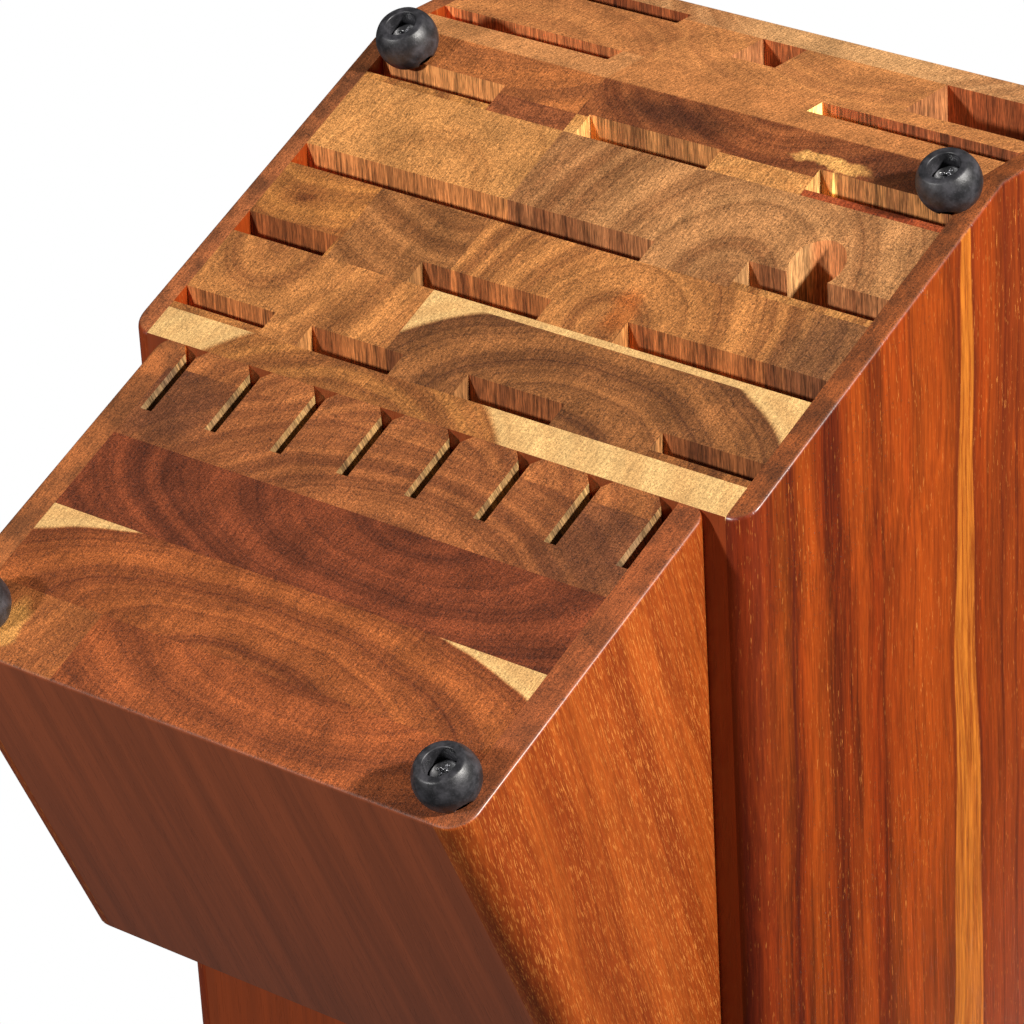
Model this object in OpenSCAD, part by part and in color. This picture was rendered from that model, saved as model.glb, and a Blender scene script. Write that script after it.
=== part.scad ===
// Empty knife block in laminated wood: a main block that leans forward over a
// smaller steak-knife block. +Z is up and the front faces -Y. The block stands
// on four feet at z = 0, and the origin is the centre of its footprint.
// Left and right are those of a person who stands in front of it.

/* [Main block] */
// Outer width
main_w = 188; // [170:1:240]
// Length of the boards along the grain
stock_l = 254; // [230:1:320]
// Forward lean of the boards
lean = 24; // [15:0.5:30]
// Depth of the underside that is cut level
base_d = 111.4; // [108:0.1:120]
// Thickness of each side panel
main_side_t = 6; // [5:0.5:10]
// Radius of the four long corners
main_corner_r = 5.5; // [1:0.5:5.5]
// Width of the wider stave in each board
wide_stave_w = 111.5; // [100:0.5:118]

/* [Boards of the main block] */
// Front board
front_t = 8.4; // [6:0.1:12]
// Board that carries row A
row_a_t = 24.8; // [18:0.1:35]
// Board that carries row B
row_b_t = 22.4; // [18:0.1:35]
// Board that carries row C
row_c_t = 28.6; // [24:0.1:35]
// Spacers that form row D
row_d_t = 5.6; // [5:0.1:8]
// Board that carries row E
row_e_t = 27.6; // [24:0.1:35]
// Board that carries row F
row_f_t = 25; // [24:0.1:35]
// Rear board
rear_t = 9.6; // [6:0.1:14]

/* [Knife slots] */
// Width of a slot for a small knife
slot_small_w = 29; // [20:0.5:32]
// Width of a slot for a medium knife
slot_medium_w = 40; // [30:0.5:44]
// Width of a slot for a cook's knife
slot_wide_w = 57.5; // [45:0.5:60]
// Width of the cleaver slot
slot_cleaver_w = 109.5; // [80:0.5:110]
// Clear thickness of a knife slot
slot_t = 6.3; // [5.8:0.1:7]
// Clear thickness of the two outer slots of row A
thin_slot_t = 5; // [4.2:0.1:6]
// Thickness of the slips that narrow a groove
slip_t = 1.8; // [1:0.1:3]
// Width of the sharpening-steel hole
steel_hole_d = 14.1; // [10:0.1:18]
// From the left side panel to the middle of the steel hole
steel_inset = 23.2; // [12:0.1:28]
// How far the middle of the steel hole lies behind the slot it runs into
steel_set_back = 4; // [1:0.1:6]
// Side of the square slot
square_slot_w = 13.6; // [10:0.1:16]
// Width of the shears slot
shears_w = 38.2; // [30:0.1:42]
// Thickness of the shears slot
shears_t = 18.6; // [12:0.1:20]

/* [Steak block] */
// Outer width
steak_w = 166; // [160:1:200]
// Depth of its underside, in front of the main block
steak_d = 98.5; // [90:0.5:120]
// Height of its front face
steak_h = 112.5; // [90:0.5:136]
// Thickness of each side panel
steak_side_t = 8; // [7.5:0.5:12]
// Radius of the two upright front corners
steak_corner_r = 7; // [1:0.5:7]
// Radius of the two rear corners that meet the main block
steak_rear_r = 3; // [0.5:0.5:5]
// Thickness of its boards, from the front; a wedge fills the rest
steak_board_t = [21, 24, 23.8, 22.8];
// Width of the wider stave in its front board
steak_stave_w = 115; // [60:1:130]

/* [Steak knife kerfs] */
// Number of kerfs
kerf_count = 8; // [2:1:8]
// Distance between kerfs
kerf_pitch = 20.7; // [15:0.1:20.9]
// Width of a kerf
kerf_w = 3.5; // [2:0.1:4]
// Depth of a kerf, measured level from the rear face
kerf_d = 21; // [15:0.5:30]
// Gap from the core's right edge to the middle of the first kerf
kerf_start = 3.4; // [2.5:0.1:6]
// Size of the chamfer on each side of a kerf's mouth
kerf_chamfer = 2.2; // [0.5:0.1:3]

/* [Feet] */
// Largest diameter of a foot
foot_d = 15.8; // [12:0.1:24]
// Height of a foot
foot_h = 10; // [8:0.5:14]
// Diameter of a foot where it meets the wood
foot_base_d = 12.8; // [10:0.1:18]
// Diameter of the recess in the underside of a foot
recess_d = 8; // [7:0.1:10]
// Depth of that recess
recess_depth = 5.5; // [4.5:0.1:6]
// From each side of the steak block to the middle of a front foot
front_foot_side_inset = 11.8; // [10:0.1:23]
// From each side of the main block to the middle of a rear foot
rear_foot_side_inset = 11.7; // [11:0.1:24]
// How far all feet sit to the left of the centre line
feet_shift = 2.4; // [0:0.1:3]
// From the front face to the middle of the front feet
front_foot_inset = 10; // [9:0.1:20]
// From the level cut's rear edge to the middle of the rear feet
rear_foot_inset = 7.6; // [7:0.1:9]
// Shank diameter of a foot screw
screw_d = 3.5; // [3:0.1:4]
// Head diameter of a foot screw
screw_head_d = 7; // [6:0.1:7.4]
// Height of a foot screw's head
screw_head_h = 2.2; // [1.5:0.1:3]
// Length of thread in the wood
screw_bite = 12; // [8:0.5:16]

/* [Hidden] */
$fn = 64;

// Through-cuts run this far past a face
past = 1;

// The boards' own directions: x across, n through the thickness from the
// front face, g along the grain. g = 0 where the front face meets the level cut.
board_t = [front_t, row_a_t, row_b_t, row_c_t, row_d_t, row_e_t, row_f_t, rear_t];
function face_n(i) = i == 0 ? 0 : face_n(i - 1) + board_t[i - 1];
main_t = face_n(len(board_t));
core_w = main_w - 2 * main_side_t;
left = -core_w / 2;
right = core_w / 2;
seam = left + wide_stave_w;
bottom_g = -base_d * sin(lean);
top_g = bottom_g + stock_l;

// Front face of each board
a_n = face_n(1);
b_n = face_n(2);
c_n = face_n(3);
d_n = face_n(4);
e_n = face_n(5);
f_n = face_n(6);
rear_n = face_n(7);

// Left end of slot i in a row: the slots' widths and the shares of the wood
// between them, from the left side panel to the right one
function total(list, i = 0) = i < len(list) ? list[i] + total(list, i + 1) : 0;
function first(list, count) = [for (k = [0 : 1 : count - 1]) list[k]];
function slot_x(widths, shares, i) =
  left + total(first(widths, i)) + (core_w - total(widths)) * total(first(shares, i));

row_a_w = [slot_small_w, slot_small_w, slot_small_w, slot_small_w];
row_a_gap = [0.47, 0.33, 0.2];
row_b_w = [slot_wide_w, slot_medium_w, slot_small_w];
row_b_gap = [0.46, 0.54];
row_c_w = [slot_medium_w, slot_cleaver_w];
row_d_w = [slot_medium_w, slot_medium_w, slot_medium_w];
row_d_gap = [0.5, 0.5];
row_e_w = [slot_wide_w, slot_wide_w];
row_f_w = [shears_w, square_slot_w, slot_wide_w];
row_f_gap = [0.63, 0.37];

function a_x(i) = slot_x(row_a_w, row_a_gap, i);
function b_x(i) = slot_x(row_b_w, row_b_gap, i);
function c_x(i) = slot_x(row_c_w, [1], i);
function d_x(i) = slot_x(row_d_w, row_d_gap, i);
function e_x(i) = slot_x(row_e_w, [1], i);
function f_x(i) = slot_x(row_f_w, row_f_gap, i);

// Row B's right stave is as wide as the slot that it carries
stave_margin = 1;
b_seam = right - slot_small_w - stave_margin;

// The narrower row A slots share their rows' groove depth
a_groove = slip_t + thin_slot_t;

// The steel hole sinks into the board behind the medium slot of row C
steel_x = left + steel_inset;
steel_n = c_n + slip_t + slot_t + steel_set_back;

// Row F's last slot is milled half into each of the boards that meet there
rear_groove = slot_t / 2;

// The object stands with its footprint centred on the origin
rear_y = main_t * cos(lean) - bottom_g * sin(lean);
front_y = -(steak_d + rear_y) / 2;
main_y = front_y + steak_d;
steak_top_g = steak_d * sin(lean) + steak_h * cos(lean);
steak_core_w = steak_w - 2 * steak_side_t;
function steak_y(i) = i == 0 ? front_y : steak_y(i - 1) + steak_board_t[i - 1];

front_foot_y = front_y + front_foot_inset;
rear_foot_y = main_y + base_d - rear_foot_inset;
front_foot_x = steak_w / 2 - front_foot_side_inset;
rear_foot_x = main_w / 2 - rear_foot_side_inset;
feet = [
  [-front_foot_x - feet_shift, front_foot_y],
  [front_foot_x - feet_shift, front_foot_y],
  [-rear_foot_x - feet_shift, rear_foot_y],
  [rear_foot_x - feet_shift, rear_foot_y]];

amber = [0.72, 0.45, 0.22];
umber = [0.47, 0.27, 0.14];
russet = [0.6, 0.32, 0.14];
sapwood = [0.88, 0.68, 0.38];

// ---- Shared shapes ----

// Puts children from (x, n, g) into the main block's lean
module leaned() {
  translate([0, main_y, foot_h]) rotate([lean, 0, 0]) children();
}

// Keeps what is above the level underside
module cut_level() {
  size = 4 * (main_w + stock_l + main_t);
  intersection() {
    children();
    translate([-size / 2, -size / 2, foot_h]) cube(size);
  }
}

// A block between x0 and x1, n0 and n1, along the whole grain
module stock(x0, x1, n0, n1) {
  translate([x0, n0, bottom_g]) cube([x1 - x0, n1 - n0, stock_l]);
}

// A groove of width w and depth n1 - n0 that runs out of both ends
module groove(x0, w, n0, n1) {
  translate([x0, n0, bottom_g - past]) cube([w, n1 - n0, stock_l + 2 * past]);
}

// A board or stave of the main block; its children are cut out of it
module board(x0, x1, n0, n1) {
  cut_level() leaned() difference() {
    stock(x0, x1, n0, n1);
    children();
  }
}

// Pilot holes for the four foot screws
module screw_holes() {
  for (p = feet) translate([p[0], p[1], foot_h - past]) cylinder(d = screw_d, h = screw_bite + past);
}

// ---- Grooves of each row ----

// Row A: the outer two are narrowed by slips
module row_a_grooves() {
  for (i = [0, 3]) groove(a_x(i), slot_small_w, a_n - past, a_n + a_groove);
  for (i = [1, 2]) groove(a_x(i), slot_small_w, a_n - past, a_n + slot_t);
}

module row_b_grooves() {
  for (i = [0 : 2]) groove(b_x(i), row_b_w[i], b_n - past, b_n + slot_t);
}

// Row C: a medium slot that runs into the round steel hole, and the cleaver slot
module row_c_grooves() {
  groove(c_x(0), slot_medium_w, c_n - past, c_n + slip_t + slot_t);
  groove(c_x(1), slot_cleaver_w, c_n - past, c_n + slot_t);
  translate([steel_x, steel_n, bottom_g - past]) cylinder(d = steel_hole_d, h = stock_l + 2 * past);
}

// Row D: the gaps between the spacers, which sink a little into the next board
module row_d_grooves() {
  for (i = [0, 2]) groove(d_x(i), slot_medium_w, d_n - past, d_n + slip_t + slot_t);
  groove(d_x(1), slot_medium_w, d_n - past, d_n + slot_t);
}

// Row E: grooves in the board's rear face
module row_e_grooves() {
  for (i = [0, 1]) groove(e_x(i), slot_wide_w, f_n - slot_t, f_n + past);
}

// Row F: the shears slot, the square slot and a cook's knife slot
module row_f_grooves() {
  groove(f_x(0), shears_w, rear_n - shears_t, rear_n + past);
  groove(f_x(1), square_slot_w, rear_n - square_slot_w, rear_n + past);
  groove(f_x(2), slot_wide_w, rear_n - rear_groove, rear_n + past);
}

// ---- Main block ----

module front_board() {
  color(sapwood) board(left, right, 0, a_n);
}

// The wide stave gives slip_t to the long slip behind it
module row_a_board_left() {
  color(umber) board(left, seam, a_n, b_n - slip_t) row_a_grooves();
}

module row_a_board_right() {
  color(amber) board(seam, right, a_n, b_n) row_a_grooves();
}

module row_a_slip_left() {
  color(umber) board(a_x(0), a_x(0) + slot_small_w, a_n, a_n + slip_t);
}

module row_a_slip_right() {
  color(amber) board(a_x(3), a_x(3) + slot_small_w, a_n, a_n + slip_t);
}

module row_b_board_left() {
  color(amber) board(left, seam, b_n, c_n) row_b_grooves();
}

module row_b_board_middle() {
  color(umber) board(seam, b_seam, b_n, c_n) row_b_grooves();
}

module row_b_board_right() {
  color(amber) board(b_seam, right, b_n, c_n) row_b_grooves();
}

module row_b_slip_left() {
  color(sapwood) board(left, seam, b_n - slip_t, b_n);
}

module row_c_board_left() {
  color(amber) board(left, seam, c_n, d_n) row_c_grooves();
}

module row_c_board_right() {
  color(amber) board(seam, right, c_n, d_n) row_c_grooves();
}

module row_c_slip_left() {
  color(amber) board(c_x(0), c_x(0) + slot_medium_w, c_n, c_n + slip_t);
}

// Spacers keep row D's slots open between two boards
module row_d_spacer_left() {
  color(amber) board(d_x(0) + slot_medium_w, d_x(1), d_n, e_n);
}

module row_d_spacer_middle() {
  color(sapwood) board(d_x(1) + slot_medium_w, max(seam, d_x(1) + slot_medium_w + slip_t), d_n, e_n);
}

module row_d_spacer_right() {
  color(umber) board(max(seam, d_x(1) + slot_medium_w + slip_t), d_x(2), d_n, e_n);
}

module row_d_slip_left() {
  color(russet) board(d_x(0), d_x(0) + slot_medium_w, d_n, d_n + slip_t);
}

module row_d_slip_right() {
  color(amber) board(d_x(2), d_x(2) + slot_medium_w, d_n, d_n + slip_t);
}

module row_e_board(x0, x1) {
  difference() {
    board(x0, x1, e_n, f_n) {
      row_d_grooves();
      row_e_grooves();
    }
    screw_holes();
  }
}

module row_e_board_left() {
  color(russet) row_e_board(left, seam);
}

module row_e_board_right() {
  color(amber) row_e_board(seam, right);
}

module row_f_board_left() {
  color(amber) board(left, seam, f_n, rear_n) row_f_grooves();
}

module row_f_board_right() {
  color(umber) board(seam, right, f_n, rear_n) row_f_grooves();
}

module rear_board() {
  color(sapwood) board(left, right, rear_n, main_t)
    groove(f_x(2), slot_wide_w, rear_n - past, rear_n + slot_t - rear_groove);
}

// Side panel with its two outer long corners rounded, drawn for the right side
module main_side_outline() {
  r = main_corner_r;
  x_out = main_w / 2;
  union() {
    translate([right, 0]) square([main_side_t - r, main_t]);
    translate([right, r]) square([main_side_t, main_t - 2 * r]);
    for (n = [r, main_t - r]) intersection() {
      translate([x_out - r, n]) circle(r = r);
      translate([right, 0]) square([main_side_t, main_t]);
    }
  }
}

module main_side(turn) {
  cut_level() leaned() mirror([turn, 0, 0]) translate([0, 0, bottom_g])
    linear_extrude(stock_l) main_side_outline();
}

module main_side_left() {
  color(russet) main_side(1);
}

module main_side_right() {
  color(russet) main_side(0);
}

// ---- Steak block ----

// Side view of the whole steak block, from x0 to x1: upright front face, rear
// face along the main block, top square to the lean
module steak_prism(x0, x1) {
  outline = [[front_y, 0], [main_y, 0],
    [main_y - steak_top_g * sin(lean), steak_top_g * cos(lean)], [front_y, steak_h]];
  translate([x0, 0, foot_h]) rotate([90, 0, 90]) linear_extrude(x1 - x0) polygon(outline);
}

// Kerfs follow the lean, open at the rear face, with chamfered mouths
module kerfs() {
  overrun = steak_top_g + steak_d;
  deep = kerf_d * cos(lean);
  translate([0, main_y, foot_h]) rotate([lean, 0, 0]) translate([0, 0, -overrun / 2])
    linear_extrude(2 * overrun)
      for (i = [0 : kerf_count - 1])
        translate([steak_core_w / 2 - kerf_start - i * kerf_pitch, 0]) polygon([
          [-kerf_w / 2, -deep], [kerf_w / 2, -deep], [kerf_w / 2, -kerf_chamfer],
          [kerf_w / 2 + kerf_chamfer, 0], [kerf_w / 2 + kerf_chamfer, past],
          [-kerf_w / 2 - kerf_chamfer, past], [-kerf_w / 2 - kerf_chamfer, 0],
          [-kerf_w / 2, -kerf_chamfer]]);
}

// One upright board of the steak block's core
module steak_board(x0, x1, y0, y1) {
  tall = steak_h + steak_d;
  difference() {
    intersection() {
      steak_prism(x0, x1);
      translate([x0 - past, y0, foot_h - past]) cube([x1 - x0 + 2 * past, y1 - y0, tall + past]);
    }
    kerfs();
    screw_holes();
  }
}

module steak_full_board(i) {
  steak_board(-steak_core_w / 2, steak_core_w / 2, steak_y(i), steak_y(i + 1));
}

module steak_rear_wedge() {
  color(amber) steak_board(-steak_core_w / 2, steak_core_w / 2, steak_y(4), main_y);
}

module steak_kerf_board() {
  color(umber) steak_full_board(3);
}

module steak_back_board() {
  color(umber) steak_full_board(2);
}

module steak_core_board() {
  color(russet) steak_full_board(1);
}

module steak_front_stave_left() {
  color(russet) steak_board(-steak_core_w / 2, -steak_core_w / 2 + steak_stave_w, front_y, steak_y(1));
}

module steak_front_stave_right() {
  color(russet) steak_board(-steak_core_w / 2 + steak_stave_w, steak_core_w / 2, front_y, steak_y(1));
}

// Plan of the whole steak block with its two front corners rounded
module steak_plan() {
  r = steak_corner_r;
  union() {
    translate([-steak_w / 2, front_y + r]) square([steak_w, steak_d]);
    translate([-steak_w / 2 + r, front_y]) square([steak_w - 2 * r, steak_d]);
    for (side = [-1, 1]) translate([side * (steak_w / 2 - r), front_y + r]) circle(r = r);
  }
}

// Cross-section, square to the lean, whose rear corners are rounded where the
// steak block meets the main block
module steak_rear_outline() {
  r = steak_rear_r;
  union() {
    translate([-steak_w / 2, -2 * steak_d]) square([steak_w, 2 * steak_d - r]);
    translate([-steak_w / 2 + r, -2 * steak_d]) square([steak_w - 2 * r, 2 * steak_d]);
    for (side = [-1, 1]) translate([side * (steak_w / 2 - r), -r]) circle(r = r);
  }
}

module steak_side(x0) {
  overrun = steak_top_g + steak_d;
  difference() {
    intersection() {
      steak_prism(x0, x0 + steak_side_t);
      translate([0, 0, foot_h - past]) linear_extrude(steak_h + steak_d) steak_plan();
      leaned() translate([0, 0, -overrun]) linear_extrude(3 * overrun) steak_rear_outline();
    }
    screw_holes();
  }
}

module steak_side_left() {
  color(amber) steak_side(-steak_w / 2);
}

module steak_side_right() {
  color(amber) steak_side(steak_w / 2 - steak_side_t);
}

// ---- Feet and screws ----

// A truncated ball, widest below its middle, with a recess for the screw head
module foot(p) {
  ball_r = foot_d / 2;
  ball_z = foot_h - sqrt(ball_r * ball_r - foot_base_d * foot_base_d / 4);
  translate([p[0], p[1], 0]) rotate_extrude() difference() {
    intersection() {
      translate([0, ball_z]) circle(r = ball_r);
      square([ball_r, foot_h]);
    }
    translate([-past, -past]) square([recess_d / 2 + past, recess_depth + past]);
    translate([-past, 0]) square([screw_d / 2 + past, foot_h + past]);
  }
}

module foot_front_left() {
  color("dimgray") foot(feet[0]);
}

module foot_front_right() {
  color("dimgray") foot(feet[1]);
}

module foot_rear_left() {
  color("dimgray") foot(feet[2]);
}

module foot_rear_right() {
  color("dimgray") foot(feet[3]);
}

// Pan-head screw, head down, with a cross recess
module screw(p) {
  slot_w = 1;
  slot_l = 4;
  slot_depth = 1.2;
  head_z = recess_depth - screw_head_h;
  translate([p[0], p[1], 0]) difference() {
    union() {
      translate([0, 0, head_z]) cylinder(d = screw_head_d, h = screw_head_h);
      translate([0, 0, head_z]) cylinder(d = screw_d, h = foot_h + screw_bite - head_z);
    }
    for (turn = [0, 90]) rotate([0, 0, turn])
      translate([-slot_l / 2, -slot_w / 2, head_z - past]) cube([slot_l, slot_w, slot_depth + past]);
  }
}

module foot_screws() {
  color("silver") for (p = feet) screw(p);
}

front_board();
row_a_board_left();
row_a_board_right();
row_a_slip_left();
row_a_slip_right();
row_b_board_left();
row_b_board_middle();
row_b_board_right();
row_b_slip_left();
row_c_board_left();
row_c_board_right();
row_c_slip_left();
row_d_spacer_left();
row_d_spacer_middle();
row_d_spacer_right();
row_d_slip_left();
row_d_slip_right();
row_e_board_left();
row_e_board_right();
row_f_board_left();
row_f_board_right();
rear_board();
main_side_left();
main_side_right();
steak_rear_wedge();
steak_kerf_board();
steak_back_board();
steak_core_board();
steak_front_stave_left();
steak_front_stave_right();
steak_side_left();
steak_side_right();
foot_front_left();
foot_front_right();
foot_rear_left();
foot_rear_right();
foot_screws();
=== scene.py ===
# %% [markdown]
# # A laminated knife block
# The real block is glued up from acacia boards. A large slotted block leans forward over a small
# block with kerfs for steak knives, and both stand on four rubber feet. The frame that is loaded
# here holds every board, panel, foot and screw at its true place, so this script only finishes
# them: it rounds the panels, moulds the feet, and gives each board its own grain.

# %% Load the frame
import math

import bmesh
import bpy
import numpy as np
from mathutils import Matrix, Vector


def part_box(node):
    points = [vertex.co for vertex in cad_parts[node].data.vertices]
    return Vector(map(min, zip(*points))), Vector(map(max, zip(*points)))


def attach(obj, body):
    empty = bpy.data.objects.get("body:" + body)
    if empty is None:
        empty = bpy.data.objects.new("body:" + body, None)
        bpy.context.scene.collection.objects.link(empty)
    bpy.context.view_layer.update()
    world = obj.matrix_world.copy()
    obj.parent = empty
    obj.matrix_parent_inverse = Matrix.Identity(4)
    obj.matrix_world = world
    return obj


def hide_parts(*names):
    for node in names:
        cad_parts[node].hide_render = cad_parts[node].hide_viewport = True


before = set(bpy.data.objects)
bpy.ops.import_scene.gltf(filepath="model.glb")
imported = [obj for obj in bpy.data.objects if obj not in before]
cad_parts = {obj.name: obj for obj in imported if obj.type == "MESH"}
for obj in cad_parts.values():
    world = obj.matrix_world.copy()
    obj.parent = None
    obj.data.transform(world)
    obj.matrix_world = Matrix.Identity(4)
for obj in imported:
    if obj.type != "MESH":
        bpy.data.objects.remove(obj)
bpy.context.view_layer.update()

# %% [markdown]
# ## Two sets of directions
# The boards of the large block lean 24 degrees. Along them it is easier to think of x across the
# block, n through its thickness and g along the grain. The small block's boards stand upright. The
# lean starts where the large block's front face meets the level underside, which is also where the
# small block's panels end, so their box gives that place.

# %% Directions of the leaning block
LEAN = math.radians(24)
LEAN_COS, LEAN_SIN = math.cos(LEAN), math.sin(LEAN)
UNDERSIDE = 0.010
FRONT_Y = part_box("steak_side_left")[0].y
MAIN_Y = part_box("steak_side_left")[1].y


def leaned(x, n, g):
    """Object place of a leaning one: y = MAIN_Y + n cos - g sin, z = UNDERSIDE + n sin + g cos."""
    y = MAIN_Y + n * LEAN_COS - g * LEAN_SIN
    z = UNDERSIDE + n * LEAN_SIN + g * LEAN_COS
    return np.stack(np.broadcast_arrays(x, y, z), axis=-1)


def grain_of(place):
    """g of an object place, the reverse of leaned."""
    return -(place[1] - MAIN_Y) * LEAN_SIN + (place[2] - UNDERSIDE) * LEAN_COS


def depth_of(place):
    """n of an object place, the reverse of leaned."""
    return (place[1] - MAIN_Y) * LEAN_COS + (place[2] - UNDERSIDE) * LEAN_SIN


rear = np.array([v.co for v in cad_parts["rear_board"].data.vertices], float)
BOTTOM_G = grain_of(rear.T).min()
TOP_G = grain_of(rear.T).max()
MAIN_T = depth_of(rear.T).max()
RIDGE_N = -BOTTOM_G * LEAN_COS / LEAN_SIN
print(f"main block: thickness {MAIN_T:.4f}, grain from {BOTTOM_G:.4f} to {TOP_G:.4f}")

# %% [markdown]
# ## Camera
# The block is seen from below its left front corner, through a long lens, with the camera rolled.
# A camera can be placed by matrix: its own x is the picture's right, its y the picture's up, and it
# looks along its own -z. So the script works out the line of sight from two angles, then rolls it
# until the block's underside is uppermost in the picture.

# %% Camera
AIM = Vector((-0.0382, -0.0456, 0.0100))
AIM_DISTANCE = 1.1665
AZIMUTH, BELOW, ROLL = math.radians(-53.40), math.radians(43.82), math.radians(155.19)
LENS_MM = 180.3

forward = Vector((-math.sin(AZIMUTH) * math.cos(BELOW), math.cos(AZIMUTH) * math.cos(BELOW), math.sin(BELOW)))
level_right = Vector((math.cos(AZIMUTH), math.sin(AZIMUTH), 0))
level_up = level_right.cross(forward)
right = level_right * math.cos(ROLL) + level_up * math.sin(ROLL)
up = level_up * math.cos(ROLL) - level_right * math.sin(ROLL)

camera_data = bpy.data.cameras.new("camera")
camera_data.lens = LENS_MM
camera_data.sensor_width = 36
camera_data.clip_end = 20
camera = bpy.data.objects.new("camera", camera_data)
turn = Matrix((right, up, -forward)).transposed()
camera.matrix_world = Matrix.Translation(AIM - forward * AIM_DISTANCE) @ turn.to_4x4()
bpy.context.scene.collection.objects.link(camera)
bpy.context.scene.camera = camera
print("camera at", tuple(round(c, 4) for c in camera.matrix_world.translation), "right", tuple(right))

# %% [markdown]
# ## Helpers for node trees
# A material is a small program made of nodes. These helpers add a node, fill each of its inputs
# with either a number or a link, and hand back the output that the next node reads, so the
# formulas below read from top to bottom.


# %% Node helpers
def add(tree, kind, ins=None, out=0, **settings):
    """Adds one shader node with its settings and inputs, and returns one of its outputs."""
    made = tree.nodes.new("ShaderNode" + kind)
    for key, value in settings.items():
        setattr(made, key, value)
    for key, value in (ins or {}).items():
        if isinstance(value, bpy.types.NodeSocket):
            tree.links.new(value, made.inputs[key])
        else:
            made.inputs[key].default_value = value
    return made.outputs[out] if made.outputs else made


def maths(tree, operation, a, b=0.0, c=0.0, clamp=False):
    """One Math node: operation on a, b and c."""
    return add(tree, "Math", {0: a, 1: b, 2: c}, operation=operation, use_clamp=clamp)


def vector_maths(tree, operation, a, b=(0, 0, 0), out=0):
    """One Vector Math node: operation on a and b."""
    return add(tree, "VectorMath", {0: a, 1: b}, out=out, operation=operation)


def blend(tree, factor, a, b, how="MIX"):
    """Mixes colour a towards colour b by factor."""
    return add(tree, "Mix", {0: factor, 6: a, 7: b}, out=2, data_type="RGBA", blend_type=how)


def blend_value(tree, factor, a, b):
    """Mixes number a towards number b by factor."""
    return add(tree, "Mix", {0: factor, 2: a, 3: b}, data_type="FLOAT")


def fade(tree, value, start, end, low=0.0, high=1.0):
    """A smooth step: low before start, high past end."""
    ins = {"Value": value, "From Min": start, "From Max": end, "To Min": low, "To Max": high}
    return add(tree, "MapRange", ins, interpolation_type="SMOOTHSTEP")


def noise(tree, place, size, detail=2.0, roughness=0.5, out="Fac", **settings):
    """Noise whose features are about size metres across."""
    ins = {"Vector": place, "Scale": 1 / size, "Detail": detail, "Roughness": roughness}
    return add(tree, "TexNoise", ins, out=out, **settings)


def stretched(tree, place, scale):
    """place multiplied axis by axis, so that a pattern is drawn out where scale is small."""
    return vector_maths(tree, "MULTIPLY", place, scale)


def tone(red, green, blue):
    """A display colour from 0 to 255 as the linear colour that shaders use."""
    shown = np.array([red, green, blue]) / 255
    return (*np.where(shown <= 0.04045, shown / 12.92, ((shown + 0.055) / 1.055) ** 2.4), 1.0)


def group(name, inputs, outputs):
    """A new node group with named inputs and outputs: (tree, its inputs, its output node)."""
    tree = bpy.data.node_groups.new(name, "ShaderNodeTree")
    for label, kind in inputs:
        tree.interface.new_socket(label, in_out="INPUT", socket_type="NodeSocket" + kind)
    for label, kind in outputs:
        tree.interface.new_socket(label, in_out="OUTPUT", socket_type="NodeSocket" + kind)
    entry = tree.nodes.new("NodeGroupInput")
    return tree, entry.outputs, tree.nodes.new("NodeGroupOutput")


def use(tree, group_tree, ins):
    """Places a group in a tree, and returns its outputs by name."""
    made = tree.nodes.new("ShaderNodeGroup")
    made.node_tree = group_tree
    for key, value in ins.items():
        if isinstance(value, bpy.types.NodeSocket):
            tree.links.new(value, made.inputs[key])
        else:
            made.inputs[key].default_value = value
    return made.outputs


# %% [markdown]
# ## Growth rings
# A tree grows a cylinder of wood each year. A board's end shows those cylinders as arcs, and its
# faces show them as bands. So one formula serves every face: the distance from the heart of the
# tree, bent a little by noise, read through a one-dimensional noise, which spaces the rings
# unevenly as real seasons do. Flatness squeezes the circles into the wide arcs of a flat-sawn board.

# %% Growth ring group
rings_group, ring_in, ring_out = group(
    "growth_rings",
    [("Place", "Vector"), ("Ring Width", "Float"), ("Flatness", "Float"), ("Bend", "Float")],
    [("Rings", "Float"), ("Fine Rings", "Float"), ("Radius", "Float")],
)
slow = stretched(rings_group, ring_in["Place"], (1, 1, 0.08))
bent = noise(rings_group, slow, 0.030, 2.0, out="Color")
bent = vector_maths(rings_group, "SUBTRACT", bent, (0.5, 0.5, 0.5))
bend_size = add(rings_group, "CombineXYZ", {0: ring_in["Bend"], 1: ring_in["Bend"]})
bent = vector_maths(rings_group, "MULTIPLY", bent, bend_size)
place = vector_maths(rings_group, "ADD", ring_in["Place"], bent)
flat = add(rings_group, "CombineXYZ", {0: 1.0, 1: ring_in["Flatness"], 2: 0.0})
radius = vector_maths(rings_group, "LENGTH", vector_maths(rings_group, "MULTIPLY", place, flat), out="Value")
years = maths(rings_group, "DIVIDE", radius, ring_in["Ring Width"])
wide = add(rings_group, "TexNoise", {"W": years, "Scale": 1.0, "Detail": 1.5, "Roughness": 0.5}, noise_dimensions="1D")
thin = add(rings_group, "TexNoise", {"W": years, "Scale": 4.3, "Detail": 1.0, "Roughness": 0.5}, noise_dimensions="1D")
rings_group.links.new(fade(rings_group, wide, 0.30, 0.72), ring_out.inputs["Rings"])
rings_group.links.new(fade(rings_group, thin, 0.48, 0.72), ring_out.inputs["Fine Rings"])
rings_group.links.new(radius, ring_out.inputs["Radius"])
print("ring group:", len(rings_group.nodes), "nodes")

# %% [markdown]
# ## Pores, fibres and sanding
# Acacia is full of fine tubes. Cut across, a tube is a dark dot. Cut along, it is a short line.
# A cell pattern that is stretched along the grain gives both at once. Under it lies a finer fibre
# noise, and the underside also keeps faint lines from the sanding belt, which ran from the front to
# the back of the block.

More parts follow.
